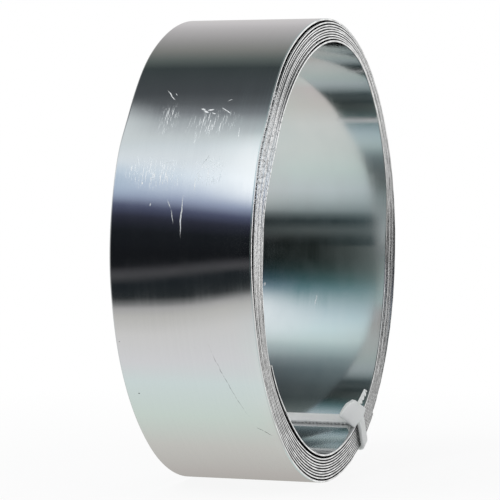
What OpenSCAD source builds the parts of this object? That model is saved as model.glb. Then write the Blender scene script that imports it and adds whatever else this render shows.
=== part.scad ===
// Coil of flat aluminium strip, standing on its rim and held by one nylon cable tie.
// The coil's axis lies along X, its floor line is at z = 0, and the tie's head is at the +X end.
// Angles round the coil start at the lowest point and grow towards +Y.

/* [Strip] */
// Width of the strip, which is also the length of the coil along its axis
strip_w = 50; // [30:1:80]
// Thickness of the strip
strip_t = 0.8; // [0.5:0.1:1.1]
// Break of the strip's slit edges, which opens each turn line on the ends
edge_break = 0.12; // [0.06:0.02:0.2]

/* [Winding] */
// Outside diameter over the full turns
coil_d = 164; // [140:1:200]
// Full turns of strip in the wall
turns = 9; // [5:1:12]
// Air between one turn and the next
turn_gap = 0.15; // [0.08:0.01:0.3]
// How far each turn stands out past the one outside it, along the axis
turn_step = 0.03; // [0.01:0.01:0.1]
// Depth of the turn lines on the two ends
line_depth = 0.6; // [0.4:0.1:1.5]

/* [Free ends] */
// Angle of the outer free end
outer_end_angle = 40; // [35:1:60]
// Angle over which the last lap rises over the wall before its end
outer_rise_span = 30; // [20:1:45]
// Angle of the inner free end
inner_end_angle = -60; // [-75:1:-50]
// Angle at which the loose inner lap meets the wall
lap_close_angle = 24; // [10:1:26]
// Widest gap between the loose inner lap and the wall
lap_lift = 1.3; // [0.8:0.1:2]

/* [Cable tie] */
// Angle of the tie round the coil
tie_angle = 28; // [28:1:34]
// Width of the strap
strap_w = 4.8; // [3.6:0.2:7.6]
// Thickness of the strap
strap_t = 1.2; // [1:0.1:1.6]
// Inside radius of the strap's bends
bend_r = 0.4; // [0.2:0.05:0.45]
// Angle at which the strap rises from the bore into the head
strap_rise = 60; // [55:1:70]
// Length of the head along the root of the strap
head_l = 7; // [6:0.2:9]
// Width of the head across the strap
head_w = 6.4; // [6:0.2:8]
// Height of the head along its slot
head_h = 8.4; // [7:0.2:10]
// How far each side of the head draws in towards its top
head_taper = 1; // [0.5:0.1:1.5]
// Height of the part of the head that draws in
head_taper_h = 2.8; // [1.5:0.1:4]
// Chamfer of the foot that lets the leaning head sit on the wall
head_foot = 3.5; // [3:0.1:4]
// Angle between the head's slot and the coil's axis
head_tilt = 45; // [40:1:50]
// Lean of the head to the side, as it was pulled tight
head_lean = 41; // [35:1:45]
// How far the middle of the head lies behind the near end of the wall
head_back = 1.35; // [1:0.05:2]
// How far the middle of the head lies below the middle of the strap
head_shift = 1.5; // [1:0.1:2]
// Length of cut tail left standing out of the head
tail_l = 5.5; // [3:0.2:12]
// Angle between the tail and the head's slot
tail_bend = 11; // [0:1:15]
// Clearance between the tie and the coil
seat_gap = 0.15; // [0.12:0.01:0.25]

/* [Hidden] */

round_facets = 240;
bend_steps = 6;
pitch = strip_t + turn_gap;
ring_r = coil_d / 2;
bore_r = ring_r - turns * strip_t - (turns - 1) * turn_gap;

// The turns form a shallow step pattern: the innermost stands furthest out at the +X end.
inner_shift = (turns - 1) * turn_step;
near_x = strip_w / 2 + inner_shift;
far_x = -strip_w / 2;

// The outer lap is an off-centre circle that leaves the wall and ends one strip thickness proud.
outer_lap_offset = strip_t / (1 - cos(outer_rise_span));
outer_lap_r = ring_r + strip_t - outer_lap_offset;
// The coil stands on whichever reaches lower: the wall or the outer lap.
axis_z = max(ring_r, outer_lap_r + outer_lap_offset * cos(outer_end_angle));

// The loose inner lap is an off-centre circle too, furthest from the wall at lap_peak_angle.
lap_peak_angle = inner_end_angle + 10;
inner_lap_offset = lap_lift / (1 - cos(lap_close_angle - lap_peak_angle));
inner_lap_r = bore_r + inner_lap_offset - lap_lift;
// Its inner surface reaches the wall a little after its outer surface does.
inner_lap_merge = lap_peak_angle + acos((inner_lap_r - strip_t - bore_r) / inner_lap_offset);
merge_overlap = 5;
// How far a cutting shape reaches past what it cuts
cut_past = strip_t;

// Radius of the coil's inner surface at an angle that the loose lap reaches
function lap_inner_r(a) = inner_lap_r - strip_t - inner_lap_offset * cos(a - lap_peak_angle);
function inner_surface_r(a) = min(bore_r, lap_inner_r(a));

// The tie is drawn in the plane that holds the coil's axis and the tie's angle:
// first coordinate along the axis, second one out from it.
strap_half_angle = asin(strap_w / 2 / bore_r);
inner_seat = inner_surface_r(tie_angle - strap_half_angle) * cos(strap_half_angle);
strap_in = inner_seat - seat_gap - strap_t / 2;
strap_out = ring_r + strip_t + seat_gap + strap_t / 2;
strap_near = near_x + seat_gap + strap_t / 2;
strap_far = far_x - seat_gap - strap_t / 2;

// The head leans on the bore at its foot, beside the near end of the wall.
slot_dir = [cos(head_tilt), -sin(head_tilt)];
root_dir = [sin(head_tilt), cos(head_tilt)];
foot_half_w = head_w / 2 - head_foot;
foot_depth = head_h / 2 * cos(head_lean) + foot_half_w * sin(head_lean);
foot_side = head_shift + head_h / 2 * sin(head_lean) - foot_half_w * cos(head_lean);
foot_r = inner_surface_r(tie_angle - asin(foot_side / bore_r)) - seat_gap;
foot_seat = sqrt(foot_r * foot_r - foot_side * foot_side);
head_reach = head_l / 2 * root_dir[1] - foot_depth * slot_dir[1];
head_mid = [near_x - head_back, foot_seat - head_reach];

// Both ends of the strap stop inside the head.
slot_bend = [head_mid[0] - (strap_in - head_mid[1]) / tan(strap_rise), strap_in];
root_end = head_mid + root_dir * 1.5 * strap_t;
strap_path = [
    head_mid, slot_bend, [strap_far, strap_in], [strap_far, strap_out],
    [strap_near, strap_out], [strap_near, strap_in], root_end
];

function unit(v) = v / norm(v);
function left_of(v) = [-v[1], v[0]];
function at_angle(r, a) = [r * sin(a), -r * cos(a)];
function reversed(list) = [for (i = [len(list) - 1 : -1 : 0]) list[i]];

// One turn's edge at one end of the coil, from the inside outwards
function turn_edge(k, end_x, line_floor, out) =
    let (
        r0 = bore_r + k * pitch,
        r1 = r0 + strip_t,
        shoulder = end_x - out * edge_break
    )
    concat(
        k > 0 ? [[r0, line_floor]] : [],
        [[r0, shoulder], [r0 + edge_break, end_x], [r1 - edge_break, end_x], [r1, shoulder]],
        k < turns - 1 ? [[r1, line_floor]] : []
    );

function turn_shift(k) = (turns - 1 - k) * turn_step;

function near_end() = [
    for (k = [0 : turns - 1])
        each turn_edge(k, strip_w / 2 + turn_shift(k), strip_w / 2 - line_depth, 1)
];

function far_end() = [
    for (k = [0 : turns - 1])
        each turn_edge(k, far_x + turn_shift(k), far_x + inner_shift + line_depth, -1)
];

// One side of the strap round a bend of its path
function bend_side(p, before, after, side) =
    let (
        d0 = unit(p - before),
        d1 = unit(after - p),
        turn = sign(cross(d0, d1)),
        half = acos(d0 * d1) / 2,
        mid_r = bend_r + strap_t / 2,
        centre = p + unit(d1 - d0) * mid_r / cos(half),
        start = -turn * left_of(d0),
        a0 = atan2(start[1], start[0]),
        r = mid_r - turn * side * strap_t / 2
    )
    [
        for (i = [0 : bend_steps])
            let (a = a0 + turn * 2 * half * i / bend_steps)
            centre + r * [cos(a), sin(a)]
    ];

function strap_side(path, side) =
    let (
        last = len(path) - 1,
        d0 = unit(path[1] - path[0]),
        d1 = unit(path[last] - path[last - 1])
    )
    concat(
        [path[0] + side * left_of(d0) * strap_t / 2],
        [for (i = [1 : last - 1]) each bend_side(path[i], path[i - 1], path[i + 1], side)],
        [path[last] + side * left_of(d1) * strap_t / 2]
    );

// Turns the X and Y of a drawing into the coil's Y and Z, and its Z into the coil's axis
module on_axis() {
    translate([0, 0, axis_z]) rotate([90, 0, 90]) children();
}

// The same for a drawing in the plane of the tie
module in_tie_plane() {
    translate([0, 0, axis_z]) rotate([tie_angle - 90, 0, 0]) children();
}

// A slice of the space round the axis, between two angles
module sector(from, to) {
    steps = ceil((to - from) / 60);
    linear_extrude(2 * strip_w, center = true)
        polygon(concat(
            [[0, 0]],
            [for (i = [0 : steps]) at_angle(1.5 * ring_r, from + (to - from) * i / steps)]
        ));
}

module shell(outer_r, inner_r) {
    difference() {
        cylinder(h = strip_w, r = outer_r, center = true, $fn = round_facets);
        cylinder(h = strip_w + 2 * cut_past, r = inner_r, center = true, $fn = round_facets);
    }
}

module wound_wall() {
    rotate_extrude($fn = round_facets)
        polygon(concat(near_end(), reversed(far_end())));
}

// The last lap rises over the ring and stops at the outer free end.
module outer_lap() {
    intersection() {
        difference() {
            translate(at_angle(outer_lap_offset, outer_end_angle))
                cylinder(h = strip_w, r = outer_lap_r, center = true, $fn = round_facets);
            cylinder(h = strip_w + 2 * cut_past, r = ring_r - strip_t / 2, center = true, $fn = round_facets);
        }
        sector(outer_end_angle - outer_rise_span - merge_overlap, outer_end_angle);
    }
}

// The first lap springs off the wall, towards the inner free end.
module inner_lap() {
    translate([0, 0, inner_shift])
        intersection() {
            translate(at_angle(inner_lap_offset, lap_peak_angle + 180))
                shell(inner_lap_r, inner_lap_r - strip_t);
            sector(inner_end_angle, inner_lap_merge + merge_overlap);
        }
}

module strip_coil() {
    color("silver")
        on_axis() {
            wound_wall();
            outer_lap();
            inner_lap();
        }
}

module strap() {
    linear_extrude(strap_w, center = true)
        polygon(concat(strap_side(strap_path, 1), reversed(strap_side(strap_path, -1))));
}

// A box whose sides draw in towards its top, which faces -Y; its foot is chamfered where it sits.
module head_body() {
    half_l = head_l / 2;
    half_h = head_h / 2;
    half_w = head_w / 2;
    intersection() {
        linear_extrude(head_w, center = true)
            polygon([
                [-half_l, half_h], [half_l, half_h],
                [half_l, head_taper_h - half_h], [half_l - head_taper, -half_h],
                [head_taper - half_l, -half_h], [-half_l, head_taper_h - half_h]
            ]);
        rotate([90, 0, 90])
            linear_extrude(head_l, center = true)
                polygon([
                    [-half_h, -half_w], [half_h, -half_w],
                    [half_h, half_w - head_foot], [half_h - head_foot, half_w],
                    [-half_h, half_w]
                ]);
    }
}

module tail() {
    translate([0, -head_h / 2, 0])
        rotate(-tail_bend)
            linear_extrude(strap_w, center = true)
                polygon([
                    [-strap_t / 2, head_h / 4], [strap_t / 2, head_h / 4],
                    [strap_t / 2, -tail_l], [-strap_t / 2, -tail_l]
                ]);
}

module head() {
    translate([head_mid[0], head_mid[1], -head_shift])
        rotate(90 - head_tilt)
            rotate([-head_lean, 0, 0]) {
                head_body();
                tail();
            }
}

module cable_tie() {
    color("whitesmoke")
        in_tie_plane() {
            strap();
            head();
        }
}

strip_coil();
cable_tie();
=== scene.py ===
import math
import random

import bpy
import numpy as np
from mathutils import Matrix, Vector


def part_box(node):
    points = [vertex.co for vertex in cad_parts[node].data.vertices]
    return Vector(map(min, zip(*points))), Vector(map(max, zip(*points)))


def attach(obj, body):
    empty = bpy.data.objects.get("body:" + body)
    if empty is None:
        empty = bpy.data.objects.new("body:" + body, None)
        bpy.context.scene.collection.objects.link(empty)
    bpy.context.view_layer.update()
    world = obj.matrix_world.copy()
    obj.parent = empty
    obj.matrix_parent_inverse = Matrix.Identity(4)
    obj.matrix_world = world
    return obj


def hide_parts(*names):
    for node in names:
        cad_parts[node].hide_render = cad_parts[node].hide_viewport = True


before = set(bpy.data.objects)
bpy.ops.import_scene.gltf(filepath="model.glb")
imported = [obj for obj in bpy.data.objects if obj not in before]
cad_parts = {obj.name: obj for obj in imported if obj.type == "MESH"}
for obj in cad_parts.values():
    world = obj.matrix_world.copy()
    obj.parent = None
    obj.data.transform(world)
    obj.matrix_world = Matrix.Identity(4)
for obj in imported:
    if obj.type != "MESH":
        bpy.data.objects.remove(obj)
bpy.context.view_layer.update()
coilLow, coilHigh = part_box("strip_coil")
mm = 0.001
axisZ = (coilLow.z + coilHigh.z) / 2
coilRadius = (coilHigh.z - coilLow.z) / 2
print("frame loaded")


# small helpers

def deselectAll():
    if bpy.context.object and bpy.context.object.mode != "OBJECT":
        bpy.ops.object.mode_set(mode="OBJECT")
    bpy.ops.object.select_all(action="DESELECT")


def makeActive(piece):
    deselectAll()
    piece.select_set(True)
    bpy.context.view_layer.objects.active = piece


def applyPlace(piece):
    makeActive(piece)
    bpy.ops.object.transform_apply(location=True, rotation=True, scale=True)


def applyModifiers(piece):
    makeActive(piece)
    for m in list(piece.modifiers):
        bpy.ops.object.modifier_apply(modifier=m.name)


def copyOf(piece):
    copy = piece.copy()
    copy.data = piece.data.copy()
    bpy.context.scene.collection.objects.link(copy)
    return copy


def joinInto(piece, others):
    deselectAll()
    for other in others:
        other.select_set(True)
    piece.select_set(True)
    bpy.context.view_layer.objects.active = piece
    bpy.ops.object.join()


def editAll(piece):
    makeActive(piece)
    bpy.ops.object.mode_set(mode="EDIT")
    bpy.ops.mesh.select_mode(type="VERT")
    bpy.ops.mesh.select_all(action="SELECT")


def selectWhere(piece, test, kind="VERT"):
    # leaves the piece in edit mode with only what passes the test selected
    makeActive(piece)
    bpy.ops.object.mode_set(mode="EDIT")
    bpy.ops.mesh.select_mode(type=kind)
    bpy.ops.mesh.select_all(action="DESELECT")
    bpy.ops.object.mode_set(mode="OBJECT")
    for item in piece.data.vertices if kind == "VERT" else piece.data.polygons:
        item.select = bool(test(item))
    bpy.ops.object.mode_set(mode="EDIT")


def cutAcross(places, axis):
    # in edit mode: cuts the whole mesh at these places along axis 0, 1 or 2
    normal = [float(i == axis) for i in range(3)]
    for place in places:
        bpy.ops.mesh.select_all(action="SELECT")
        bpy.ops.mesh.bisect(plane_co=[place * n for n in normal], plane_no=normal)


def faceOutwards():
    # in edit mode
    bpy.ops.mesh.select_all(action="SELECT")
    bpy.ops.mesh.normals_make_consistent(inside=False)


def curveThrough(points, at):
    # smooth curve through (place, value) points
    x = np.array([p[0] for p in points], float)
    y = np.array([p[1] for p in points], float)
    slope = np.gradient(y, x)
    at = np.clip(np.asarray(at, float), x[0], x[-1])
    i = np.clip(np.searchsorted(x, at) - 1, 0, len(x) - 2)
    h = x[i + 1] - x[i]
    t = (at - x[i]) / h
    return ((2 * t**3 - 3 * t**2 + 1) * y[i] + (t**3 - 2 * t**2 + t) * h * slope[i]
            + (3 * t**2 - 2 * t**3) * y[i + 1] + (t**3 - t**2) * h * slope[i + 1])


def smoothStep(low, high, value):
    t = np.clip((np.asarray(value, float) - low) / (high - low), 0, 1)
    return t * t * (3 - 2 * t)


# node helpers

def newMaterial(name):
    material = bpy.data.materials.new(name)
    material.use_nodes = True
    material.node_tree.nodes.clear()
    return material, material.node_tree


def addNode(tree, kind, inputs=None, **settings):
    node = tree.nodes.new(kind)
    for key, value in settings.items():
        setattr(node, key, value)
    for key, value in (inputs or {}).items():
        if isinstance(value, bpy.types.NodeSocket):
            tree.links.new(value, node.inputs[key])
        else:
            node.inputs[key].default_value = value
    return node


def endMaterial(tree, looks):
    shader = addNode(tree, "ShaderNodeBsdfPrincipled", looks)
    addNode(tree, "ShaderNodeOutputMaterial", {"Surface": shader.outputs[0]})


def mathOn(tree, operation, a, b):
    return addNode(tree, "ShaderNodeMath", {0: a, 1: b}, operation=operation).outputs[0]


def times(tree, a, b):
    return mathOn(tree, "MULTIPLY", a, b)


def spread(tree, value, fromLow, fromHigh, low, high):
    # moves one range of values onto another and holds it there beyond its ends
    limits = {0: value, 1: fromLow, 2: fromHigh, 3: low, 4: high}
    return addNode(tree, "ShaderNodeMapRange", limits).outputs[0]


def mixColour(tree, share, first, second):
    return addNode(tree, "ShaderNodeMix", {0: share, 6: first, 7: second}, data_type="RGBA").outputs[2]


def lengthOf(tree, vector):
    return addNode(tree, "ShaderNodeVectorMath", {0: vector}, operation="LENGTH").outputs["Value"]


def noiseOn(tree, place, size, detail=3.0, slant=0.0):
    # noise stretched to a size in mm along and across the strip
    local = addNode(tree, "ShaderNodeMapping", {
        "Vector": place, "Rotation": (0, 0, math.radians(slant)),
        "Scale": (1 / (size[0] * mm), 1 / (size[1] * mm), 1)})
    noise = {"Vector": local.outputs[0], "Scale": 1.0, "Detail": detail}
    return addNode(tree, "ShaderNodeTexNoise", noise).outputs[0]


def fillRamp(ramp, stops):
    while len(ramp.elements) > 1:
        ramp.elements.remove(ramp.elements[-1])
    ramp.elements[0].position = stops[0][0]
    ramp.elements[0].color = stops[0][1]
    for place, colour in stops[1:]:
        ramp.elements.new(place).color = colour


def linearColour(rgb, scale):
    # screen values from 0 to 255 as scene values
    out = []
    for c in rgb:
        c /= 255
        out.append(scale * (c / 12.92 if c <= 0.04045 else ((c + 0.055) / 1.055) ** 2.4))
    return tuple(out)


# the coil of strip

coil = {
    "width": 50 * mm,
    "thickness": 0.8 * mm,
    "gap": 0.15 * mm,       # usual air between laps
    "turns": 9,
    # rounding of the slit edges, along the axis and across the thickness
    "edgeRoll": (0.13 * mm, 0.16 * mm),
    "rollSegments": 3,
    # where the width is divided, in mm
    "columns": [-24.45, -16, -6, 4, 10, 14, 17.5, 21, 24.45],
    # angles are in degrees from the lowest point towards +Y, and a full lap runs from 40 to 400
    "step": 2,
    "innerEnd": -60,
    "outerEnd": 40,
    # how far the outermost lap lies inside the full radius by angle, in mm
    "outline": [(40, 0.05), (60, 0.02), (90, 0.0), (135, 0.0), (180, 0.0), (215, 0.05), (240, 0.4),
                (255, 0.64), (270, 0.72), (285, 0.5), (300, 0.2), (320, 0.03), (345, 0.0), (358, 0.0),
                (368, 0.0), (385, -0.45), (400, -0.96)],
    # lift of the outermost lap's near edge where it has sprung off the wall, in mm
    "edgeLift": [(246, 0), (254, 0.25), (262, 0.62), (268, 0.7), (273, 0.62), (278, 0.36), (283, 0.14),
                 (290, 0)],
    "liftBend": 1.25,       # 1 tilts the strip evenly across its width, more bends it near the edge
    # air between the laps by angle in mm, outermost pair first
    "air": [(40, [0.21] * 8),
            (90, [0.15, 0.12, 0.15, 0.12, 0.15, 0.12, 0.15, 0.12]),
            (135, [0.2, 0.15, 0.1, 0.12, 0.1, 0.12, 0.14, 0.16]),
            (180, [0.3, 0.22, 0.06, 0.08, 0.06, 0.08, 0.11, 0.22]),
            (200, [0.42, 0.26, 0.05, 0.08, 0.05, 0.05, 0.14, 0.2]),
            (215, [0.5, 0.3, 0.05, 0.1, 0.05, 0.05, 0.12, 0.16]),
            (235, [0.42, 0.05, 0.22, 0.05, 0.05, 0.22, 0.05, 0.1]),
            (250, [0.42, 0.05, 0.2, 0.05, 0.05, 0.22, 0.05, 0.1]),
            (270, [0.7, 0.05, 0.05, 0.15, 0.05, 0.05, 0.15, 0.05]),
            (285, [0.3, 0.05, 0.05, 0.18, 0.05, 0.05, 0.15, 0.05]),
            (300, [0.16, 0.14, 0.1, 0.14, 0.1, 0.12, 0.1, 0.12]),
            (330, [0.27, 0.21, 0.11, 0.21, 0.17, 0.11, 0.21, 0.17]),
            (360, [0.29, 0.22, 0.11, 0.13, 0.18, 0.11, 0.22, 0.18]),
            (384, [0.19, 0.19, 0.18, 0.18, 0.19, 0.18, 0.2, 0.19]),
            (400, [0.21] * 8)],
    "leastAir": 0.04,
    "looseAir": [(300, 1.35), (312, 1.0), (325, 0.7), (345, 0.52), (360, 0.5), (372, 0.4), (384, 0.25),
                 (392, 0.2), (400, 0.21)],
    # sideways shift of the outermost, the innermost and the loose lap along the axis, in mm
    "shiftOut": [(40, 0), (120, 0), (200, 0), (217, -0.1), (227, 0.3), (236, 0.5), (243, 0), (255, -0.12),
                 (270, -0.15), (283, 0.1), (300, 0.35), (320, 0.55), (335, 0.5), (352, 0.25), (375, 0),
                 (400, 0)],
    "shiftIn": [(40, 0), (52, -0.3), (66, -1.0), (78, -1.27), (92, -1.2), (99, -0.7), (106, -0.1),
                (114, 0.15), (135, 0.9), (157, 2.1), (180, 2.5), (200, 2.4), (215, 2.2), (230, 2.1),
                (241, 2.15), (249, 1.6), (258, 0.9), (270, 0.6), (285, 0.5), (300, 0.25), (320, 0.5),
                (345, 0.6), (378, 0), (400, 0)],
    "shiftLoose": [(300, 0.05), (308, 0.25), (318, 0.8), (335, 1.0), (350, 0.8), (378, 0), (400, 0)],
    # how much of the innermost lap's shift each lap has, innermost first
    "shares": [1, 0.83, 0.63, 0.61, 0.59, 0.4, 0.37, 0.3, 0],
    # slow unevenness: waves in a turn, how far the laps wander outwards and sideways in mm, and
    # the angles between which it comes in and dies out, so that the laps still join
    "waves": (3, 7, 12, 19),
    "wanderOut": 0.012,
    "wanderSideways": 0.05,
    "wanderStarts": (44, 70),
    "wanderStops": (372, 396),
}
outermost = coil["turns"] - 1       # laps are counted from 0, the innermost full one, and the loose one is -1


def stripSlice(angle):
    # one slice of the strip with the coil's axis at the origin
    bore = coilRadius - coil["turns"] * coil["thickness"] - (coil["turns"] - 1) * coil["gap"]
    rollAlong, rollAcross = coil["edgeRoll"]
    squeeze = rollAlong / rollAcross
    middle = (0, 0, -bore - coil["thickness"] / 2)
    deselectAll()
    bpy.ops.mesh.primitive_plane_add(size=1, location=middle, rotation=(math.pi / 2, 0, 0))
    lap = bpy.context.object
    lap.scale = (coil["width"] / squeeze, coil["thickness"], 1)
    applyPlace(lap)
    # rounded evenly at this width, then scaled to the strip's own, which makes the rounding uneven
    editAll(lap)
    bpy.ops.mesh.bevel(offset=rollAcross, segments=coil["rollSegments"], affect="VERTICES")
    bpy.ops.mesh.select_all(action="SELECT")
    bpy.ops.mesh.delete(type="ONLY_FACE")
    bpy.ops.mesh.select_all(action="SELECT")
    bpy.ops.transform.resize(value=(squeeze, 1, 1), center_override=(0, 0, 0))
    cutAcross([x * mm for x in coil["columns"]], 0)
    bpy.ops.object.mode_set(mode="OBJECT")
    lap.rotation_euler = (math.radians(angle), 0, 0)
    applyPlace(lap)
    return lap, bore


def spinLap(start, end):
    lap, bore = stripSlice(start)
    perSlice = len(lap.data.vertices)
    editAll(lap)
    bpy.ops.mesh.spin(steps=(end - start) // coil["step"], angle=math.radians(start - end),
                      use_auto_merge=False, center=(0, 0, 0), axis=(1, 0, 0))
    bpy.ops.object.mode_set(mode="OBJECT")
    mesh = lap.data
    co = np.zeros(len(mesh.vertices) * 3)
    mesh.vertices.foreach_get("co", co)
    co = co.reshape(-1, 3)
    angle = start + coil["step"] * (np.arange(len(co)) // perSlice).astype(float)
    return lap, co[:, 0], angle, np.hypot(co[:, 1], co[:, 2]) - bore


def wander(angle, seed, reach):
    rng = random.Random(seed)
    total = np.zeros_like(angle, float)
    for waves in coil["waves"]:
        total += np.sin(np.radians(angle) * waves + rng.uniform(0, 2 * math.pi)) / math.sqrt(waves)
    starts = smoothStep(*coil["wanderStarts"], angle)
    return reach * total * starts * (1 - smoothStep(*coil["wanderStops"], angle))


def lapPlace(lap, x, angle):
    # inside radius of a lap, and its shift along the axis
    radius = coilRadius - curveThrough(coil["outline"], angle) * mm - coil["thickness"]
    for k in range(outermost - max(lap, 0)):
        gap = curveThrough([(a, row[k]) for a, row in coil["air"]], angle)
        radius = radius - coil["thickness"] - np.maximum(gap, coil["leastAir"]) * mm
    if lap < 0:
        radius = radius - coil["thickness"] - curveThrough(coil["looseAir"], angle) * mm
        return radius, curveThrough(coil["shiftLoose"], angle) * mm
    # each lap wanders in its own way
    if 0 < lap < outermost:
        radius = radius + wander(angle, 20 + lap, coil["wanderOut"]) * mm
    if lap == outermost:
        across = np.clip(x / coil["width"] + 0.5, 0, 1)     # 0 at the far edge and 1 at the near one
        radius = radius + curveThrough(coil["edgeLift"], angle) * across ** coil["liftBend"] * mm
    share = coil["shares"][lap]
    shift = curveThrough(coil["shiftOut"], angle) * (1 - share) + curveThrough(coil["shiftIn"], angle) * share
    return radius, (shift + wander(angle, 40 + lap, coil["wanderSideways"])) * mm


def alongStrip(angle, lap):
    # length of strip from its start to a place on a lap, as if every lap were as long as the outermost
    return (np.radians(angle - coil["outerEnd"]) + 2 * math.pi * lap) * coilRadius


def layLap(piece, lap, x, angle, depth):
    radius, shift = lapPlace(lap, x, angle)
    turned = np.radians(angle)
    r = radius + depth
    co = np.stack([x + shift, r * np.sin(turned), axisZ - r * np.cos(turned)], 1)
    mesh = piece.data
    mesh.vertices.foreach_set("co", co.ravel())
    layer = mesh.uv_layers.new(name="alongStrip")
    corner = np.zeros(len(mesh.loops), dtype=np.int32)
    mesh.loops.foreach_get("vertex_index", corner)
    uv = np.stack([alongStrip(angle, lap), x], 1)
    layer.data.foreach_set("uv", uv[corner].ravel())
    mesh.update()


def closeEnds(piece):
    # the strip's two cut ends lie on either side of the lowest point
    for side in (-1, 1):
        makeActive(piece)
        bpy.ops.object.mode_set(mode="EDIT")
        bpy.ops.mesh.select_all(action="DESELECT")
        bpy.ops.mesh.select_non_manifold(extend=False, use_wire=False, use_boundary=True,
                                         use_multi_face=False, use_non_contiguous=False, use_verts=False)
        bpy.ops.object.mode_set(mode="OBJECT")
        rim = {v.index for v in piece.data.vertices if v.select and v.co.y * side > 0}
        selectWhere(piece, lambda v: v.index in rim)
        bpy.ops.mesh.edge_face_add()
    faceOutwards()
    bpy.ops.object.mode_set(mode="OBJECT")


def windStrip():
    start, end = coil["outerEnd"], coil["outerEnd"] + 360
    loose, x, angle, depth = spinLap(coil["innerEnd"] + 360, end)
    layLap(loose, -1, x, angle, depth)
    full, x, angle, depth = spinLap(start, end)
    laps = [full] + [copyOf(full) for lap in range(outermost)]
    for lap, piece in enumerate(laps):
        layLap(piece, lap, x, angle, depth)
    joinInto(loose, laps)
    loose.name = "coiledStrip"
    # each lap's end meets the next one's start
    editAll(loose)
    bpy.ops.mesh.remove_doubles(threshold=0.002 * mm)
    closeEnds(loose)
    return loose


burrs = {
    "count": 260,
    "angles": (226, 258),
    "laps": (4, 6, 7, 8, 8, 8),         # half of them are on the outermost
    "through": (0.08, 0.5, 0.94),       # inside, middle and outside of the strip, in thicknesses
    "length": (0.35, 1.1),
    # a burr before it is scaled to its length: radius at its base and tip, where it bends and how far
    "base": 0.2,
    "tip": 0.01,
    "bendAt": 0.35,
    "bend": 0.25,
    "sunk": 0.05 * mm,
    # degrees from the axis towards the outside
    "lean": (-20, 40),
    "outermostLean": (-20, 80),
    "colour": (0.96, 0.96, 0.96, 1),
    "metallic": 0.35,
    "roughness": 0.4,
}


def addBurrs(piece):
    # ragged burrs that the slitter left on the near edge, modelled once and copied
    rng = random.Random(7)
    deselectAll()
    # it stands up from just below the edge, at 0
    bpy.ops.mesh.primitive_cone_add(vertices=5, radius1=burrs["base"], radius2=burrs["tip"], depth=1,
                                    location=(0, 0, 0.4))
    first = bpy.context.object
    applyPlace(first)
    editAll(first)
    cutAcross([burrs["bendAt"]], 2)
    selectWhere(first, lambda v: v.co.z > 0.8)      # the tip alone
    bpy.ops.transform.translate(value=(burrs["bend"], 0, 0))
    bpy.ops.object.mode_set(mode="OBJECT")
    made = [first] + [copyOf(first) for i in range(1, burrs["count"])]
    edge = coil["width"] / 2
    for burr in made:
        angle = rng.uniform(*burrs["angles"])
        lap = rng.choice(burrs["laps"])
        radius, shift = lapPlace(lap, edge, np.array([angle]))
        r = radius[0] + coil["thickness"] * rng.choice(burrs["through"])
        lean = rng.uniform(*burrs["outermostLean" if lap == outermost else "lean"])
        spin = rng.uniform(0, 6.28)
        size = rng.uniform(*burrs["length"]) * mm
        t = math.radians(angle)
        place = (edge + shift[0] - burrs["sunk"], r * math.sin(t), axisZ - r * math.cos(t))
        burr.data.transform(Matrix.Translation(place) @ Matrix.Rotation(t, 4, "X")
                            @ Matrix.Rotation(math.radians(90 + lean), 4, "Y")
                            @ Matrix.Rotation(spin, 4, "Z") @ Matrix.Diagonal((mm, mm, size, 1)))
    joinInto(piece, made)


strip = windStrip()
addBurrs(strip)
print("strip wound:", len(strip.data.vertices), "vertices")


# finishes of the strip

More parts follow.
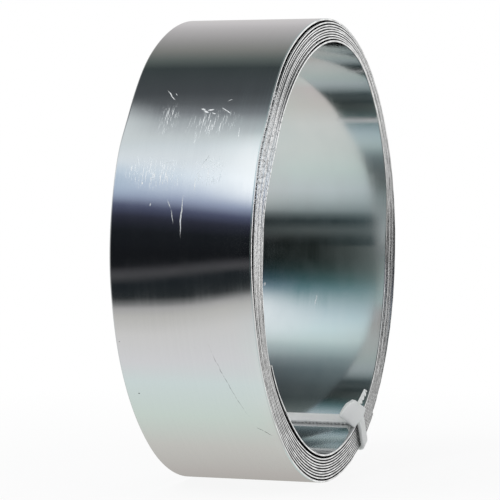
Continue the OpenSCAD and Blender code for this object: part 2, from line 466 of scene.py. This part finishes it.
metal = {
    # shade and roughness of the rolled faces
    "outsideShade": 0.83,
    "outsideRoughness": 0.065,
    "boreShade": 0.72,
    "boreRoughness": 0.092,
    "dullTint": (0.97, 0.98, 0.985),
    "paleTint": (1.02, 1.025, 1.03),
    # length and width of rolling streaks and dull clouds in mm, and how much roughness they add or take
    "streaks": (60, 0.6),
    "streakReach": 0.012,
    "clouds": (14, 9),
    "cloudReach": 0.015,
    # scratches: angle, place along the axis, length, width in mm, slant, strength
    "bright": [(228.8, -11.3, 6.2, 0.45, 40, 1), (228.5, -9.5, 1.6, 0.3, 43, 0.8),
               (233.1, 1.6, 2.0, 0.7, 72, 1), (233.8, 2.7, 2.5, 0.8, 62, 1), (233.3, 4.2, 2.6, 0.75, 97, 1),
               (234.3, 5.6, 2.0, 0.6, 80, 0.9), (233.5, 10, 4.9, 0.45, 53, 1),
               (230.4, 10.4, 2, 0.3, 111, 0.6), (241, 1.4, 5.3, 0.3, 0, 0.5), (239.8, 16.3, 6, 0.35, 5, 0.7),
               (247.1, -17.1, 5.5, 0.3, 15, 0.7), (248.9, -19.2, 2.3, 0.5, -2, 0.7),
               (252.4, -14.6, 1.2, 0.5, 19, 1), (251.3, -11.8, 1.8, 0.4, 7, 0.9),
               (250.8, -6.3, 6.3, 0.35, 13, 0.8), (252.6, 3.9, 5.3, 0.35, 0, 0.9),
               (260.1, 0.1, 15.5, 0.5, -1, 0.75), (257.3, -4.5, 3.6, 0.5, 24, 0.45),
               (260.2, -3.1, 5.5, 0.4, 14, 0.5), (257.5, -11.2, 1.4, 0.5, -14, 0.5)],
    "dark": [(246.6, 6.7, 4.3, 0.3, -24, 0.6), (247.3, -6.4, 3.1, 0.25, 95, 0.5),
             (300.1, 12, 33, 0.25, 17, 0.8), (315.5, 20.1, 7.7, 0.35, 49, 0.9),
             (290.2, -23.8, 0.8, 0.5, 90, 1), (304.2, -20.8, 0.8, 0.5, 90, 1)],
    "boreBright": [(72.6, -2.2, 5.5, 0.3, 8, 0.8), (77.1, -23.6, 2, 1, 20, 0.6)],
    "scratchColour": (0.97, 0.98, 0.99, 1),
    "scratchRoughness": 0.5,
    "scratchShine": 0.1,
    "darkColour": (0.1, 0.1, 0.1, 1),
    # how finely and how far scratches waver, and the size of their breaks in mm
    "waverScale": 350.0,
    "waver": 0.9 * mm,
    "breaks": (0.6, 0.4),
    "darkBreaks": (1.2, 0.6),
    # patches of fine scuffing: angle, place, length, width, slant, strength
    "scuffed": [(236, -10, 16, 9, 0, 1), (237, 6, 12, 22, 8, 1), (250, -10, 13, 26, 0, 1),
                (249, 8, 12, 14, 0, 1)],
    # the strokes in a patch: length and width in mm, slant, and the noise values between which they show
    "strokes": [((6.0, 0.4), 9, (0.57, 0.66)), ((2.6, 0.4), -38, (0.6, 0.69))],
    "patchSoft": 0.2,
    "strokeStrength": 0.9,
    # cut faces, and the shoulders between the laps, which are painted dark as the shade in the gaps: duller
    # and brighter lengths
    "cutShades": (0.68, 1.0),
    "shoulderPaintedShades": (0.02, 0.12),
    "lengths": (6, 400),
    "slitRoughness": 0.3,
    # the rim's upper front, where the cut faces get a painted highlight, and its torn part, where the
    # shoulders get a painted highlight and specks show dark;
    # both fade in and out between places along Y or Z
    "highlightY": (-0.012, -0.035),
    "highlightZ": (0.06, 0.085),
    "tornZ": (0.124, 0.138),
    "cutPaintedHighlight": 0.3,
    "shoulderPaintedHighlight": 0.95,
    "grain": 1100.0,
    "speckStrength": 0.5,
    "speckShade": 0.2,
    # how squarely a face has to point along the axis to be a cut face, on a covered side of a lap and
    # on an open one, and to be a shoulder
    "coveredCut": 0.985,
    "openCut": 0.8,
    "shoulder": 0.1,
    "smoothUnder": 50,
}


def onStrip(angle, x, lap):
    return alongStrip(angle, lap), x * mm, 0


def marksMask(tree, place, marks, lap, soft=0.5):
    # each mark is a slender ellipse lying on the strip
    total = 0.0
    for angle, x, length, width, slant, strength in marks:
        local = addNode(tree, "ShaderNodeMapping", {
            "Vector": place, "Location": onStrip(angle, x, lap), "Rotation": (0, 0, math.radians(slant)),
            "Scale": (length * mm / 2, width * mm / 2, 1)}, vector_type="TEXTURE")
        mark = spread(tree, lengthOf(tree, local.outputs[0]), soft, 1.0, strength, 0.0)
        total = mathOn(tree, "MAXIMUM", total, mark)
    return total


def waveringPlace(tree, flat):
    waver = addNode(tree, "ShaderNodeTexNoise", {"Vector": flat, "Scale": metal["waverScale"], "Detail": 2.0})
    shaken = addNode(tree, "ShaderNodeVectorMath", {0: waver.outputs[1], 1: (0.5, 0.5, 0.5)},
                     operation="SUBTRACT")
    offset = addNode(tree, "ShaderNodeVectorMath", {0: shaken.outputs[0], "Scale": metal["waver"]},
                     operation="SCALE")
    return addNode(tree, "ShaderNodeVectorMath", {0: flat, 1: offset.outputs[0]}, operation="ADD").outputs[0]


def scuffsMask(tree, flat, place, patches, lap):
    strokes = [spread(tree, noiseOn(tree, flat, size, 2.0, slant), *shows, 0.0, metal["strokeStrength"])
               for size, slant, shows in metal["strokes"]]
    inPatch = marksMask(tree, place, patches, lap, metal["patchSoft"])
    return times(tree, inPatch, mathOn(tree, "MAXIMUM", *strokes))


def stripFinish(name, shade, roughness, bright, dark, scuffed, lap):
    material, tree = newMaterial(name)
    flat = addNode(tree, "ShaderNodeUVMap", uv_map="alongStrip").outputs[0]
    place = waveringPlace(tree, flat)
    # fine streaks from rolling
    streaks = noiseOn(tree, flat, metal["streaks"], 4.0)
    clouds = noiseOn(tree, flat, metal["clouds"])
    colour = mixColour(tree, streaks, [t * shade for t in metal["dullTint"]] + [1],
                       [t * shade for t in metal["paleTint"]] + [1])
    if dark:
        breaks = spread(tree, noiseOn(tree, flat, metal["darkBreaks"]), 0.42, 0.55, 0.0, 1.0)
        darkMask = times(tree, marksMask(tree, place, dark, lap), breaks)
        colour = mixColour(tree, darkMask, colour, metal["darkColour"])
    breaks = spread(tree, noiseOn(tree, flat, metal["breaks"]), 0.35, 0.5, 0.35, 1.0)
    brightMask = times(tree, marksMask(tree, place, bright, lap), breaks)
    if scuffed:
        brightMask = mathOn(tree, "MAXIMUM", brightMask, scuffsMask(tree, flat, place, scuffed, lap))
    colour = mixColour(tree, brightMask, colour, metal["scratchColour"])
    cloudy = spread(tree, clouds, 0.35, 0.65, roughness - metal["cloudReach"],
                    roughness + metal["cloudReach"])
    streaky = spread(tree, streaks, 0.3, 0.7, -metal["streakReach"], metal["streakReach"])
    polish = mathOn(tree, "ADD", streaky, cloudy)
    rough = addNode(tree, "ShaderNodeMix", {0: brightMask, 2: polish, 3: metal["scratchRoughness"]})
    endMaterial(tree, {"Base Color": colour, "Roughness": rough.outputs[0],
                       "Metallic": spread(tree, brightMask, 0.0, 1.0, 1.0, metal["scratchShine"])})
    return material


def edgeFinish(name, shades, paintedHighlight, tornOnly):
    material, tree = newMaterial(name)
    flat = addNode(tree, "ShaderNodeUVMap", uv_map="alongStrip").outputs[0]
    place = addNode(tree, "ShaderNodeTexCoord").outputs["Object"]
    xyz = addNode(tree, "ShaderNodeSeparateXYZ", {0: place})
    # painted highlight on the rim's upper front for the cut faces, and on its torn part for the shoulders;
    # the specks darken the torn part
    front = times(tree, spread(tree, xyz.outputs["Y"], *metal["highlightY"], 0.0, 1.0),
                  spread(tree, xyz.outputs["Z"], *metal["highlightZ"], 0.0, 1.0))
    tornAndHighlit = times(tree, front, spread(tree, xyz.outputs["Z"], *metal["tornZ"], 1.0, 0.0))
    lengths = spread(tree, noiseOn(tree, flat, metal["lengths"], 5.0), 0.35, 0.65, *shades)
    lit = mathOn(tree, "ADD", lengths, times(tree, tornAndHighlit if tornOnly else front, paintedHighlight))
    grain = addNode(tree, "ShaderNodeTexNoise", {"Vector": place, "Scale": metal["grain"], "Detail": 3.0})
    specks = times(tree, spread(tree, grain.outputs[0], 0.53, 0.6, 0.0, 1.0),
                   spread(tree, tornAndHighlit, 0.0, 1.0, 0.0, metal["speckStrength"]))
    shade = times(tree, mathOn(tree, "MINIMUM", lit, 1.0),
                  spread(tree, specks, 0.0, 1.0, 1.0, metal["speckShade"]))
    grey = addNode(tree, "ShaderNodeCombineColor", {0: shade, 1: shade, 2: shade}).outputs[0]
    rough = spread(tree, grain.outputs[0], 0.35, 0.65, metal["slitRoughness"] - 0.08,
                   metal["slitRoughness"] + 0.1)
    # on the shoulders this grey is painted shade, and it darkens their specular tint as well
    endMaterial(tree, {"Base Color": grey, "Specular Tint": grey, "Metallic": 1.0, "Roughness": rough})
    return material


def burrFinish():
    material, tree = newMaterial("slitBurr")
    endMaterial(tree, {"Base Color": burrs["colour"], "Metallic": burrs["metallic"],
                       "Roughness": burrs["roughness"]})
    return material


def finishStrip(piece):
    finishes = [
        stripFinish("rolledAluminium", metal["outsideShade"], metal["outsideRoughness"], metal["bright"],
                    metal["dark"], metal["scuffed"], outermost),
        stripFinish("boreAluminium", metal["boreShade"], metal["boreRoughness"], metal["boreBright"],
                    None, None, 0),
        edgeFinish("slitEdge", metal["cutShades"], metal["cutPaintedHighlight"], False),
        # the shoulders are painted nearly black as the shade between the laps
        edgeFinish("slitShoulderPaintedShade", metal["shoulderPaintedShades"], metal["shoulderPaintedHighlight"], True),
        burrFinish()]
    outside, inBore, cutFace, shoulder, burr = range(len(finishes))
    for finish in finishes:
        piece.data.materials.append(finish)
    along = piece.data.uv_layers["alongStrip"].data
    coveredFrom = (coil["innerEnd"] + 360 - coil["outerEnd"]) / 360     # under the loose lap from here on
    for face in piece.data.polygons:
        outwards = face.normal.y * face.center.y + face.normal.z * (face.center.z - axisZ) > 0
        lap = along[face.loop_start].uv.x / (2 * math.pi * coilRadius)
        exposed = lap > outermost - 0.001 if outwards else lap < coveredFrom
        sideways = abs(face.normal.x)
        if along[face.loop_start].uv.length == 0:       # only the strip itself was unrolled
            face.material_index = burr
        elif sideways > metal["openCut" if exposed else "coveredCut"]:
            face.material_index = cutFace
        elif sideways > metal["shoulder"] and not exposed:
            face.material_index = shoulder
        else:
            face.material_index = outside if outwards else inBore


finishStrip(strip)
makeActive(strip)
bpy.ops.object.shade_smooth_by_angle(angle=math.radians(metal["smoothUnder"]))
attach(strip, "root")
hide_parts("strip_coil")
print("strip finished")


# the cable tie

tie = {
    # millimetres and degrees
    "angle": 28,
    "strapWidth": 4.8,
    "strapThickness": 1.2,
    "bendRadius": 0.4,
    "bendSteps": 8,
    "strapRise": 60,            # from the bore up into the head
    # the coil's two ends, along the axis, and how the strap lies on the coil
    "nearFace": 25.24,
    "farFace": -24.96,
    "clearance": 0.15,          # at the two ends
    "seating": 0.04,            # inside and outside the wall, where it is pulled down
    "rootFromMid": 1.5,         # where the strap's root ends, in thicknesses from the head's middle
    # teeth: their pitch, the ridge and the foot of each as shares of it, and the heights left at the foot
    "toothPitch": 1.42,
    "ridgeAt": 0.28,
    "footAt": 0.46,
    "railWidth": 0.7,
    "railHeight": 0.72,
    "webHeight": 0.55,
    # how far the teeth and the rails fall away between ridges
    "toothDip": 0.15,
    "railDip": 0.05,
    "plainRoot": 14,            # length without teeth beside the head
    "headLength": 7,
    "headWidth": 6.4,
    "headHeight": 8.4,
    "taper": 1,                 # how far each side draws in, over this height from the top
    "taperHeight": 2.8,
    "footChamfer": 3.5,
    "soften": 0.3,
    "mouths": ((-1, 0.75, 1.3), (1, 0.7, 0.9)),         # side of the head, rim and depth
    "headMid": (23.89, 67.96),
    "headTilt": 45,             # between the slot and the coil's axis
    "headLean": 41,             # to the side
    "headShift": 1.5,           # down from the middle of the strap
    "tail": 5.5,                # length that stands out of the slot
    "tailBend": 11,
    "tailTwist": 17,
    "tipCut": 0.35,
    "tipSlant": 0.22,
    "smoothUnder": 35,
    "colour": (0.92, 0.955, 0.92, 1),
    "roughness": 0.4,
    "milkiness": 0.75,
    "milkDepth": 0.003,         # metres
}


# the tie is drawn with X along the coil's axis, Y out from it at the tie's angle and Z across the strap
tiePlane = Matrix.Translation((0, 0, axisZ)) @ Matrix.Rotation(math.radians(tie["angle"] - 90), 4, "X")


def strapRoute():
    half = tie["strapThickness"] / 2
    tilt, rise = math.radians(tie["headTilt"]), math.radians(tie["strapRise"])
    headMid = Vector(tie["headMid"])
    # the strap is pulled down onto the strip, inside and outside
    spanAngle = math.degrees(tie["strapWidth"] / 2 * mm / coilRadius)
    inside, shift = lapPlace(-1, 0.0, np.array([tie["angle"] + 360 - spanAngle]))
    outside, shift = lapPlace(outermost, 0.0, np.array([tie["angle"] + 360 + spanAngle]))
    inner = inside[0] / mm - tie["seating"] - half
    outer = (outside[0] + coil["thickness"]) / mm + tie["seating"] + half
    near = tie["nearFace"] + tie["clearance"] + half
    far = tie["farFace"] - tie["clearance"] - half
    slotBend = Vector((headMid.x - (inner - headMid.y) / math.tan(rise), inner))
    rootEnd = headMid + Vector((math.sin(tilt), math.cos(tilt))) * tie["rootFromMid"] * tie["strapThickness"]
    return [headMid, slotBend, Vector((far, inner)), Vector((far, outer)), Vector((near, outer)),
            Vector((near, inner)), rootEnd]


def roundedRoute(corners, radius, steps):
    points = [corners[0]]
    for before, here, after in zip(corners, corners[1:], corners[2:]):
        a, b = (here - before).normalized(), (after - here).normalized()
        half = a.angle(b) / 2
        reach = radius * math.tan(half)
        middle = here + (b - a).normalized() * radius / math.cos(half)
        start = here - a * reach - middle
        side = 1 if a.x * b.y - a.y * b.x > 0 else -1
        for i in range(steps + 1):
            turn = side * 2 * half * i / steps
            c, s = math.cos(turn), math.sin(turn)
            points.append(middle + Vector((start.x * c - start.y * s, start.x * s + start.y * c)))
    points.append(corners[-1])
    return points


def strapLink():
    # one pitch of the toothed strap: two rails with a saw tooth between them, teeth towards -Y
    pitch, width, thickness = tie["toothPitch"], tie["strapWidth"], tie["strapThickness"]
    ridge, foot = pitch * tie["ridgeAt"], pitch * tie["footAt"]
    railFrom = width / 2 - tie["railWidth"]
    deselectAll()
    bpy.ops.mesh.primitive_cube_add(size=1, location=(pitch / 2, 0, 0))
    link = bpy.context.object
    link.name = "tieStrap"
    link.scale = (pitch, thickness, width)
    applyPlace(link)
    editAll(link)
    cutAcross((-railFrom, railFrom), 2)
    cutAcross((ridge, foot), 0)
    bpy.ops.object.mode_set(mode="OBJECT")
    top = thickness / 2
    for v in link.data.vertices:
        if v.co.y > 0:
            continue
        onTooth = abs(v.co.z) < railFrom + 0.2
        if abs(v.co.x - ridge) < 1e-4:
            v.co.y = -top
        elif abs(v.co.x - foot) < 1e-4:
            v.co.y = top - (tie["webHeight"] if onTooth else tie["railHeight"])
        else:
            v.co.y = (tie["toothDip"] if onTooth else tie["railDip"]) - top
    # links join end to end, so both ends are open
    selectWhere(link, lambda f: abs(f.center.x - pitch / 2) > pitch / 2 - 1e-4, "FACE")
    bpy.ops.mesh.delete(type="ONLY_FACE")
    bpy.ops.object.mode_set(mode="OBJECT")
    return link


def strapRack(length, plain=0.0):
    # a straight run of links, stretched to an exact length, plain near its end, and closed at both ends
    rack = strapLink()
    rows = rack.modifiers.new("rows", "ARRAY")
    rows.count = round(length / tie["toothPitch"])
    rows.use_merge_vertices = True
    rows.merge_threshold = 0.001
    applyModifiers(rack)
    reach = max(v.co.x for v in rack.data.vertices)
    editAll(rack)
    bpy.ops.transform.resize(value=(length / reach, 1, 1), center_override=(0, 0, 0))
    bpy.ops.object.mode_set(mode="OBJECT")
    for v in rack.data.vertices:
        if v.co.x > length - plain and v.co.y < 0:
            v.co.y = -tie["strapThickness"] / 2
    for end in (0, length):
        selectWhere(rack, lambda v: abs(v.co.x - end) < 1e-3)
        bpy.ops.mesh.edge_face_add()
    faceOutwards()
    bpy.ops.object.mode_set(mode="OBJECT")
    return rack


def makeStrap():
    points = roundedRoute(strapRoute(), tie["bendRadius"] + tie["strapThickness"] / 2, tie["bendSteps"])
    length = sum((b - a).length for a, b in zip(points, points[1:]))
    rack = strapRack(length, tie["plainRoot"])
    deselectAll()
    bpy.ops.curve.primitive_nurbs_path_add()
    route = bpy.context.object
    route.name = "strapRoute"
    route.data.dimensions = "2D"
    route.data.splines.clear()
    line = route.data.splines.new("POLY")
    line.points.add(len(points) - 1)
    for place, p in zip(line.points, points):
        place.co = (p.x, p.y, 0, 1)
    line.use_endpoint_u = True
    bend = rack.modifiers.new("bend", "CURVE")
    bend.object = route
    bend.deform_axis = "POS_X"
    applyModifiers(rack)
    bpy.data.objects.remove(route)
    return rack


# from the head's own axes, top towards -Y, to the drawing of the tie
headPlace = (Matrix.Translation((*tie["headMid"], -tie["headShift"]))
             @ Matrix.Rotation(math.radians(90 - tie["headTilt"]), 4, "Z")
             @ Matrix.Rotation(math.radians(-tie["headLean"]), 4, "X"))


def makeHead():
    length, height, width = tie["headLength"], tie["headHeight"], tie["headWidth"]
    deselectAll()
    bpy.ops.mesh.primitive_cube_add(size=1)
    head = bpy.context.object
    head.name = "tieHead"
    head.scale = (length, height, width)
    applyPlace(head)
    # the sides draw in towards the top
    editAll(head)
    cutAcross([tie["taperHeight"] - height / 2], 1)
    selectWhere(head, lambda v: v.co.y < 0.01 - height / 2)
    bpy.ops.transform.resize(value=(1 - 2 * tie["taper"] / length, 1, 1), center_override=(0, 0, 0))
    # the foot is chamfered where it sits on the strip
    selectWhere(head, lambda v: v.co.y > height / 2 - 0.01 and v.co.z > width / 2 - 0.01)
    bpy.ops.mesh.bevel(offset=tie["footChamfer"], segments=1)
    # mouths of the slot, above and below
    for side, rim, depth in tie["mouths"]:
        selectWhere(head, lambda f: f.normal.y * side > 0.9, "FACE")
        bpy.ops.mesh.inset(thickness=rim, depth=-depth)
    bpy.ops.object.mode_set(mode="OBJECT")
    soften = head.modifiers.new("soften", "BEVEL")
    soften.width = tie["soften"]
    soften.segments = 3
    soften.angle_limit = math.radians(30)
    applyModifiers(head)
    head.data.transform(headPlace)
    return head


def makeTail():
    # the cut end that stands out of the slot, with a slanted tip
    height = tie["headHeight"]
    tail = strapRack(tie["tail"] + height / 4)
    tail.name = "tieTail"
    editAll(tail)
    bpy.ops.mesh.bisect(plane_co=(tie["tipCut"], 0, 0), plane_no=(-1, 0, tie["tipSlant"]), use_fill=True,
                        clear_outer=True)
    bpy.ops.object.mode_set(mode="OBJECT")
    tail.data.transform(headPlace @ Matrix.Translation((0, -height / 2, 0))
                        @ Matrix.Rotation(math.radians(-tie["tailBend"]), 4, "Z")
                        @ Matrix.Translation((0, -tie["tail"], 0)) @ Matrix.Rotation(math.radians(90), 4, "Z")
                        @ Matrix.Rotation(math.radians(tie["tailTwist"]), 4, "X"))
    return tail


def nylonFinish():
    material, tree = newMaterial("tieNylon")
    endMaterial(tree, {
        "Base Color": tie["colour"], "Roughness": tie["roughness"], "Subsurface Weight": tie["milkiness"],
        "Subsurface Radius": (1.0, 1.0, 1.0), "Subsurface Scale": tie["milkDepth"]})
    return material


strap = makeStrap()
nylon = nylonFinish()
for piece in (strap, makeHead(), makeTail()):
    piece.data.transform(tiePlane @ Matrix.Scale(mm, 4))
    piece.data.materials.append(nylon)
    makeActive(piece)
    bpy.ops.object.shade_smooth_by_angle(angle=math.radians(tie["smoothUnder"]))
    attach(piece, "root")
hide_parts("cable_tie")
print("tie made")


# floor, light and camera

studio = {
    "floorSize": 6.0,
    "floorShade": 0.9,
    # distances from the coil between which its shadow fades into plain white, and the white's share there
    "shadowFades": (0.1, 0.35),
    "whiteShare": (0.88, 1.0),
    "keyPlace": (-0.5, -0.9, 1.1),
    "keySize": 0.8,
    "keyPower": 6,
    "azimuth": 19.51,
    "elevation": 2.24,
    "distance": 0.8917,
    "lens": 179.4,
    "shift": (-0.0266, -0.0007),
}


def makeFloor():
    deselectAll()
    bpy.ops.mesh.primitive_plane_add(size=studio["floorSize"], location=(0, 0, 0))
    floor = bpy.context.object
    floor.name = "floor"
    material, tree = newMaterial("paleFloor")
    path = addNode(tree, "ShaderNodeLightPath")
    pale = addNode(tree, "ShaderNodeBsdfDiffuse", {"Color": (*[studio["floorShade"]] * 3, 1)})
    white = addNode(tree, "ShaderNodeEmission", {"Color": (1, 1, 1, 1), "Strength": 1.0})
    place = addNode(tree, "ShaderNodeTexCoord").outputs["Object"]
    keep = spread(tree, lengthOf(tree, place), *studio["shadowFades"], *studio["whiteShare"])
    share = times(tree, path.outputs["Is Camera Ray"], keep)
    mix = addNode(tree, "ShaderNodeMixShader", {0: share, 1: pale.outputs[0], 2: white.outputs[0]})
    addNode(tree, "ShaderNodeOutputMaterial", {"Surface": mix.outputs[0]})
    floor.data.materials.append(material)
    floor.visible_glossy = False


surroundings = {
    # soft boxes and dark cards that the metal mirrors: colours by height angle, from 0 in front of the
    # coil over it, or under it, to 180 behind it
    "outsideAbove": [(0, (19, 21, 24)), (8, (23, 26, 30)), (14, (42, 44, 56)), (19.5, (74, 79, 102)),
                     (25, (143, 153, 176)), (30, (182, 193, 210)), (37, (204, 216, 226)),
                     (43, (209, 217, 223)), (47.5, (209, 216, 220)), (52.5, (200, 208, 212)),
                     (57.5, (190, 197, 199)), (62, (172, 178, 181)), (66, (156, 162, 165)),
                     (71.5, (113, 117, 121)), (77, (84, 88, 91)), (84, (66, 70, 73)), (102, (54, 61, 62)),
                     (109, (86, 93, 91)), (118, (121, 122, 119)), (135, (160, 158, 158)),
                     (155, (187, 184, 185)), (170, (192, 190, 190)), (180, (176, 174, 172))],
    "outsideBelow": [(0, (19, 21, 24)), (6.5, (20, 22, 25)), (9.6, (62, 62, 65)), (11.6, (70, 70, 72)),
                     (15.5, (25, 30, 34)), (21.6, (35, 39, 41)), (24.8, (112, 113, 113)),
                     (26.6, (159, 158, 158)), (31, (180, 179, 176)), (40, (198, 197, 196)),
                     (54, (203, 203, 205)), (66, (199, 210, 209)), (88, (194, 205, 198)),
                     (112, (189, 188, 183)), (145, (173, 169, 165)), (168, (160, 157, 153)),
                     (180, (176, 174, 172))],
    # the same through the bore
    "boreAbove": [(0, (14, 19, 17)), (8, (16, 24, 22)), (14, (22, 42, 40)), (20, (38, 73, 73)),
                  (26, (78, 114, 118)), (32, (119, 147, 152)), (38, (154, 177, 184)), (44, (177, 199, 205)),
                  (50, (188, 209, 212)), (57, (184, 202, 202)), (64, (148, 166, 167)), (70, (112, 127, 130)),
                  (77, (86, 99, 103)), (90, (64, 73, 75)), (99, (59, 67, 68)), (108, (78, 88, 88)),
                  (125, (128, 142, 144)), (155, (160, 170, 172)), (180, (163, 172, 174))],
    "boreBelow": [(0, (14, 19, 17)), (4, (30, 35, 33)), (9, (78, 84, 83)), (14.5, (28, 38, 40)),
                  (18, (84, 94, 95)), (21, (128, 139, 140)), (27, (163, 174, 175)), (33, (181, 191, 193)),
                  (45, (187, 200, 196)), (60, (197, 203, 199)), (75, (199, 201, 198)), (90, (188, 184, 180)),
                  (104, (185, 178, 177)), (118, (193, 212, 208)), (140, (176, 197, 194)),
                  (156, (160, 176, 170)), (180, (163, 172, 174))],
    # what the metal gives back, which the colours are divided by
    "outsideReflects": 0.83,
    "boreReflects": 0.72,
    # sideways places between which the bore's surroundings come in and go out, and how far the first
    # two move with the square of the height
    "boreFrom": (-0.339, -0.334),
    "boreTo": (-0.22, -0.15),
    "borePush": 0.042,
    # an even haze over the bore's right part
    "hazeAbove": (158, 172, 170),
    "hazeBelow": (98, 118, 122),
    "hazeFrom": (-0.303, -0.29),
    "hazeShare": 0.36,
    # slants of the soft box ahead and of the pale strip under it, and the narrowing of the low dark
    # card: sideways from and to, and what is added to the height there, as a share of 180 degrees or
    # of the height itself; then the heights between which each comes in or goes out
    "boxSlant": (-0.4, -0.36, -0.023, 0.0),
    "boxStarts": (0.02, 0.08),
    "boxStops": (0.17, 0.3),
    "cardNarrows": (-0.372, -0.342, 0.0, 0.28),
    "cardStops": (0.14, 0.33),
    "stripSlant": (-0.401, -0.372, 0.0, 0.03),
    "stripStops": (0.07, 0.11),
    # round glows over the horizon: height angle, reach, sideways place, reach and colour
    "glows": [(35, 7.5, -0.405, 0.02, (160, 178, 196)), (64, 12, -0.392, 0.013, (205, 212, 213)),
              (35.5, 8, -0.346, 0.016, (246, 251, 255)), (44, 11, -0.334, 0.014, (243, 248, 250))],
    "backGlow": (180, 50, 0.36, 0.3, (244, 245, 245)),          # over and under the horizon
    "rimGlow": (118, 40, 0.72, 0.25, (250, 250, 250)),
    "glowFades": (0.4, 1.5),            # from its middle, in reaches
    "glowShare": 0.9,
    # plain grey far to the left
    "sides": (188, 190, 190),
    "sidesFrom": (-0.43, -0.62),
    "sidesShare": 0.6,
    # light on everything that isn't mirrored
    "softColour": (0.8, 0.81, 0.82, 1),
    "softStrength": 0.85,
}


def addBackground(tree, colour, strength=1.0):
    return addNode(tree, "ShaderNodeBackground", {"Color": colour, "Strength": strength}).outputs[0]


def mirroredColour(tree):
    # what the metal mirrors, by the height angle as a share of 180 degrees and the place sideways
    place = addNode(tree, "ShaderNodeTexCoord")
    xyz = addNode(tree, "ShaderNodeSeparateXYZ", {0: place.outputs["Generated"]})
    sideways = xyz.outputs["X"]
    front = times(tree, xyz.outputs["Y"], -1.0)
    height = times(tree, mathOn(tree, "ARCTAN2", xyz.outputs["Z"], front), 1 / math.pi)
    size = addNode(tree, "ShaderNodeMath", {0: height}, operation="ABSOLUTE").outputs[0]
    isUp = mathOn(tree, "GREATER_THAN", height, 0.0)

    def plain(rgb, side="outside"):
        return (*linearColour(rgb, 1 / surroundings[side + "Reflects"]), 1)

    def seenAround(side, below, above):
        ramps = []
        for key, at in ((side + "Below", below), (side + "Above", above)):
            ramp = addNode(tree, "ShaderNodeValToRGB", {0: at})
            fillRamp(ramp.color_ramp, [(a / 180, plain(c, side)) for a, c in surroundings[key]])
            ramps.append(ramp.outputs[0])
        return mixColour(tree, isUp, *ramps)

    def addGlow(around, at, glow):
        glowHeight, reach, glowSide, sideReach, rgb = glow
        away = addNode(tree, "ShaderNodeCombineXYZ", {
            0: times(tree, mathOn(tree, "SUBTRACT", at, glowHeight / 180), 180 / reach),
            1: times(tree, mathOn(tree, "SUBTRACT", sideways, glowSide), 1 / sideReach)})
        share = spread(tree, lengthOf(tree, away.outputs[0]), *surroundings["glowFades"],
                       surroundings["glowShare"], 0.0)
        return mixColour(tree, share, around, plain(rgb))

    boxMove = times(tree, spread(tree, sideways, *surroundings["boxSlant"]),
                    spread(tree, size, *surroundings["boxStarts"], 0.0, 1.0))
    boxMove = times(tree, boxMove, spread(tree, size, *surroundings["boxStops"], 1.0, 0.0))
    above = mathOn(tree, "ADD", size, boxMove)
    narrower = times(tree, spread(tree, sideways, *surroundings["cardNarrows"]),
                     spread(tree, size, *surroundings["cardStops"], 1.0, 0.0))
    stripMove = times(tree, spread(tree, sideways, *surroundings["stripSlant"]),
                      spread(tree, size, *surroundings["stripStops"], 1.0, 0.0))
    below = mathOn(tree, "ADD", mathOn(tree, "ADD", size, times(tree, size, narrower)), stripMove)
    push = times(tree, times(tree, size, size), surroundings["borePush"])
    inBore = times(tree, spread(tree, mathOn(tree, "SUBTRACT", sideways, push),
                                *surroundings["boreFrom"], 0.0, 1.0),
                   spread(tree, sideways, *surroundings["boreTo"], 1.0, 0.0))
    haze = mixColour(tree, isUp, plain(surroundings["hazeBelow"], "bore"),
                     plain(surroundings["hazeAbove"], "bore"))
    hazeShare = spread(tree, sideways, *surroundings["hazeFrom"], 0.0, surroundings["hazeShare"])
    bore = mixColour(tree, hazeShare, seenAround("bore", size, size), haze)
    around = mixColour(tree, inBore, seenAround("outside", below, above), bore)
    for glow in surroundings["glows"]:
        around = addGlow(around, height, glow)
    around = addGlow(around, size, surroundings["backGlow"])
    around = addGlow(around, height, surroundings["rimGlow"])
    sidesShare = spread(tree, sideways, *surroundings["sidesFrom"], 0.0, surroundings["sidesShare"])
    return mixColour(tree, sidesShare, around, plain(surroundings["sides"]))


def makeWorld():
    world = bpy.data.worlds.new("studio")
    bpy.context.scene.world = world
    world.use_nodes = True
    tree = world.node_tree
    tree.nodes.clear()
    path = addNode(tree, "ShaderNodeLightPath")
    soft = addBackground(tree, surroundings["softColour"], surroundings["softStrength"])
    mirrored = addBackground(tree, mirroredColour(tree))
    white = addBackground(tree, (1, 1, 1, 1))
    lit = addNode(tree, "ShaderNodeMixShader", {0: path.outputs["Is Glossy Ray"], 1: soft, 2: mirrored})
    seen = mathOn(tree, "MAXIMUM", path.outputs["Is Camera Ray"], path.outputs["Is Transmission Ray"])
    shown = addNode(tree, "ShaderNodeMixShader", {0: seen, 1: lit.outputs[0], 2: white})
    addNode(tree, "ShaderNodeOutputWorld", {"Surface": shown.outputs[0]})


def makeLight(name, place, target, size, power):
    light = bpy.data.lights.new(name, "AREA")
    light.shape = "SQUARE"
    light.size = size
    light.energy = power
    lamp = bpy.data.objects.new(name, light)
    bpy.context.scene.collection.objects.link(lamp)
    lamp.location = place
    lamp.rotation_euler = (Vector(place) - Vector(target)).to_track_quat("Z", "Y").to_euler()
    lamp.visible_glossy = False


def makeCamera():
    a, e = math.radians(studio["azimuth"]), math.radians(studio["elevation"])
    back = Vector((math.sin(a) * math.cos(e), -math.cos(a) * math.cos(e), math.sin(e)))
    camera = bpy.data.objects.new("camera", bpy.data.cameras.new("camera"))
    bpy.context.scene.collection.objects.link(camera)
    camera.data.lens = studio["lens"]
    camera.data.shift_x, camera.data.shift_y = studio["shift"]
    camera.data.clip_start, camera.data.clip_end = 0.01, 50
    camera.location = Vector((0, 0, axisZ)) + back * studio["distance"]
    camera.rotation_euler = (-back).to_track_quat("-Z", "Y").to_euler()
    bpy.context.scene.camera = camera


makeFloor()
makeWorld()
makeLight("keyLight", studio["keyPlace"], (0, 0, axisZ), studio["keySize"], studio["keyPower"])
makeCamera()
bpy.context.scene.view_settings.view_transform = "Standard"
print("stage set")
